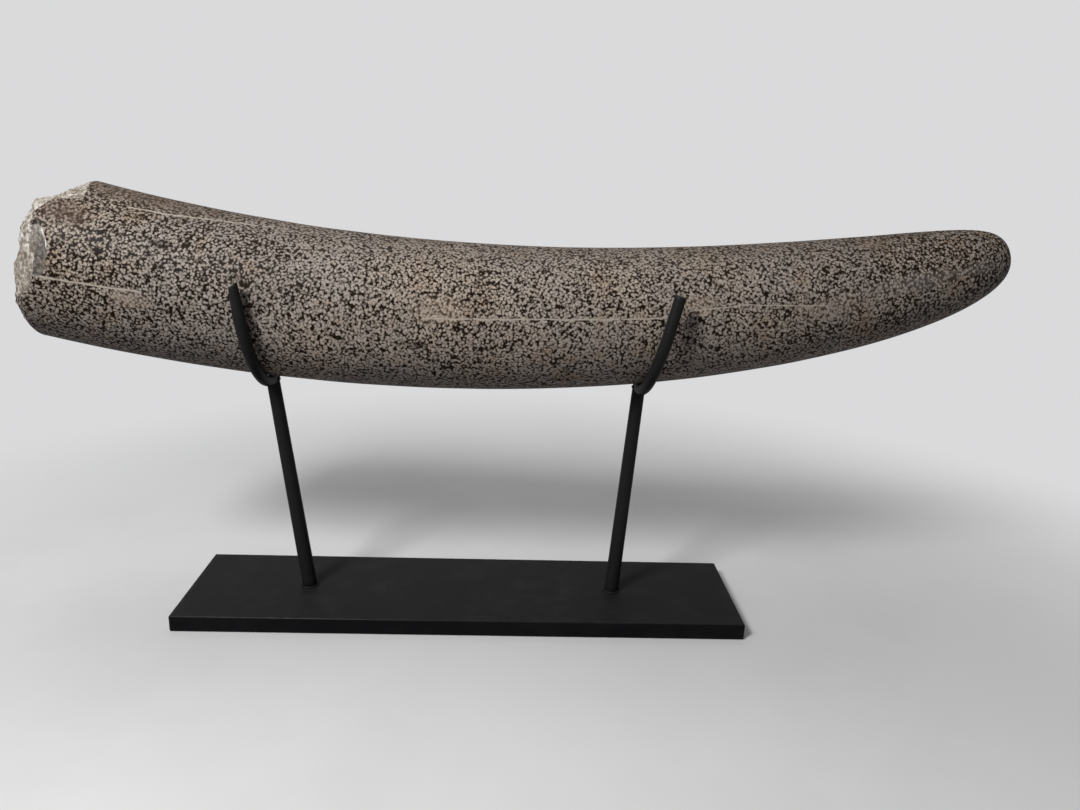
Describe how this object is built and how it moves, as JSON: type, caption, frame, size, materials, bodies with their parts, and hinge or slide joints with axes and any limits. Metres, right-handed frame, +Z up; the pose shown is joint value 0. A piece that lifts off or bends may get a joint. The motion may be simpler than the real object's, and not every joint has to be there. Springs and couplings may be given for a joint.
{
  "type": "fossil tusk on a stand",
  "caption": "Curved fossil tusk, broken at the thick end and blunt at the tip, resting in bent bar cradles on a low black steel stand.",
  "frame": {"origin": "centre of the base plate's underside", "axes": "+Z up, +X along the plate towards the tusk's tip, -Y towards the display side"},
  "size_m": [0.8132, 0.1464, 0.3715],
  "materials": {
    "fossil": "polished speckled fossil ivory, pale and rough at the break",
    "black_steel": "satin black paint"
  },
  "bodies": {
    "root": {"tusk": "fossil", "base_plate": "black_steel", "left_post": "black_steel", "right_post": "black_steel", "left_cradle": "black_steel", "right_cradle": "black_steel"}
  },
  "joints": []
}
